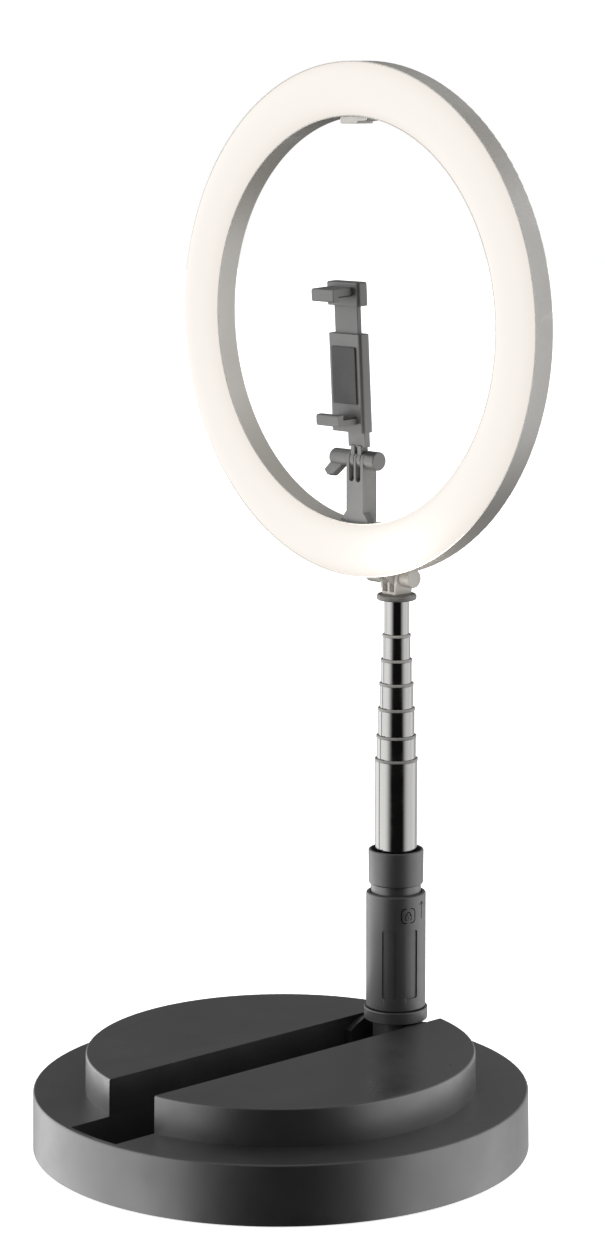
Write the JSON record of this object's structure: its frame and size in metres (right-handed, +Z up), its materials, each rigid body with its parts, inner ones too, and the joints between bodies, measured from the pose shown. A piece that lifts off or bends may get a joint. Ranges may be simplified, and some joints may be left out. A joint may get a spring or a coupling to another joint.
{
  "type": "ring light",
  "caption": "Ring light with a telescopic mast that folds down into a slotted round base, with a tilting phone clamp inside the ring.",
  "frame": {"origin": "centre of the round base, on the floor", "axes": "+Z up along the upright mast, the lamp faces -Y, and every hinge turns about X"},
  "size_m": [0.305, 0.3, 0.6463],
  "materials": {
    "casing_plastic": "fine-textured moulded charcoal plastic",
    "cover_plastic": "smooth black plastic",
    "foot_rubber": "matt black rubber",
    "ballast_steel": "raw steel plate",
    "screw_steel": "zinc-plated screws",
    "bracket_steel": "black painted steel",
    "axle_steel": "ground steel",
    "pole_plastic": "charcoal plastic",
    "grip_plastic": "soft-touch charcoal plastic",
    "spring_steel": "spring wire",
    "tube_chrome": "dark chrome-plated steel",
    "bush_plastic": "grey plastic",
    "hinge_plastic": "grey plastic",
    "housing_plastic": "warm grey plastic",
    "diffuser_acrylic": "milky acrylic, lit from inside",
    "board_green": "white solder-masked circuit board",
    "led_phosphor": "LED packages",
    "inlet_metal": "nickel-plated contact",
    "pad_rubber": "ribbed black rubber"
  },
  "bodies": {
    "base": {"base_shell": "casing_plastic", "deck_left": "casing_plastic", "deck_right": "casing_plastic", "bottom_cover": "cover_plastic", "cover_screws": "screw_steel", "foot_ring": "foot_rubber", "ballast_plates": "ballast_steel", "hinge_bracket": "bracket_steel", "bracket_screws": "screw_steel", "fold_axle": "axle_steel"},
    "pole": {"pole_foot": "pole_plastic", "pole_collar": "pole_plastic", "neck_bush": "pole_plastic", "upper_sleeve": "grip_plastic", "tube_1": "tube_chrome", "bush_1": "bush_plastic", "grip_spring": "spring_steel"},
    "grip": {"grip_sleeve": "grip_plastic"},
    "stage_2": {"tube_2": "tube_chrome", "bush_2": "bush_plastic"},
    "stage_3": {"tube_3": "tube_chrome", "bush_3": "bush_plastic"},
    "stage_4": {"tube_4": "tube_chrome", "bush_4": "bush_plastic"},
    "stage_5": {"tube_5": "tube_chrome", "bush_5": "bush_plastic"},
    "stage_6": {"tube_6": "tube_chrome", "bush_6": "bush_plastic"},
    "stage_7": {"tube_7": "tube_chrome", "mast_head": "hinge_plastic", "tilt_bolt": "axle_steel", "tilt_nut": "hinge_plastic"},
    "tilt_screw": {"tilt_knob": "hinge_plastic"},
    "lamp": {"ring_housing": "housing_plastic", "ring_screws": "screw_steel", "diffuser": "diffuser_acrylic", "led_board": "board_green", "led_chips": "led_phosphor", "tilt_bracket": "hinge_plastic", "phone_arm": "hinge_plastic", "latch_tab": "housing_plastic", "power_inlet": "housing_plastic", "inlet_pin": "inlet_metal", "phone_bolt": "axle_steel", "phone_nut": "hinge_plastic"},
    "phone_screw": {"phone_knob": "hinge_plastic"},
    "clamp": {"clamp_stem": "hinge_plastic", "clamp_body": "hinge_plastic", "lower_pad": "pad_rubber", "back_pad": "pad_rubber", "clamp_springs": "spring_steel"},
    "jaw": {"upper_jaw": "hinge_plastic", "upper_pad": "pad_rubber"}
  },
  "joints": [
    {"name": "pole_fold", "type": "hinge", "parent": "base", "child": "pole", "pos_m": [0, 0.096, 0.022], "axis": [1, 0, 0], "range_deg": [0, 82]},
    {"name": "grip_lift", "type": "slide", "parent": "pole", "child": "grip", "axis": [0, 0, 1], "range_m": [0, 0.005], "stiffness_N_per_m": 300, "springref_m": -0.01, "deforming": ["grip_spring"]},
    {"name": "tube_2_push_in", "type": "slide", "parent": "pole", "child": "stage_2", "axis": [0, 0, -1], "range_m": [-0.11, 0.011]},
    {"name": "tube_3_push_in", "type": "slide", "parent": "stage_2", "child": "stage_3", "axis": [0, 0, -1], "range_m": [-0.11, 0.0135]},
    {"name": "tube_4_push_in", "type": "slide", "parent": "stage_3", "child": "stage_4", "axis": [0, 0, -1], "range_m": [-0.11, 0.012]},
    {"name": "tube_5_push_in", "type": "slide", "parent": "stage_4", "child": "stage_5", "axis": [0, 0, -1], "range_m": [-0.11, 0.0114]},
    {"name": "tube_6_push_in", "type": "slide", "parent": "stage_5", "child": "stage_6", "axis": [0, 0, -1], "range_m": [-0.11, 0.0118]},
    {"name": "tube_7_push_in", "type": "slide", "parent": "stage_6", "child": "stage_7", "axis": [0, 0, -1], "range_m": [-0.11, 0.0175]},
    {"name": "ring_tilt", "type": "hinge", "parent": "stage_7", "child": "lamp", "pos_m": [0, 0.096, 0.337], "axis": [-1, 0, 0], "range_deg": [-40, 165]},
    {"name": "tilt_knob_turn", "type": "hinge", "parent": "stage_7", "child": "tilt_screw", "pos_m": [-0.016, 0.096, 0.337], "axis": [1, 0, 0], "continuous": true},
    {"name": "phone_tilt", "type": "hinge", "parent": "lamp", "child": "clamp", "pos_m": [0, 0.0665, 0.411], "axis": [1, 0, 0], "range_deg": [-60, 90]},
    {"name": "phone_knob_turn", "type": "hinge", "parent": "lamp", "child": "phone_screw", "pos_m": [-0.016, 0.0665, 0.411], "axis": [1, 0, 0], "continuous": true},
    {"name": "jaw_open", "type": "slide", "parent": "clamp", "child": "jaw", "axis": [0, -0.0523, 0.9986], "range_m": [-0.016, 0.017], "deforming": ["clamp_springs"]}
  ]
}
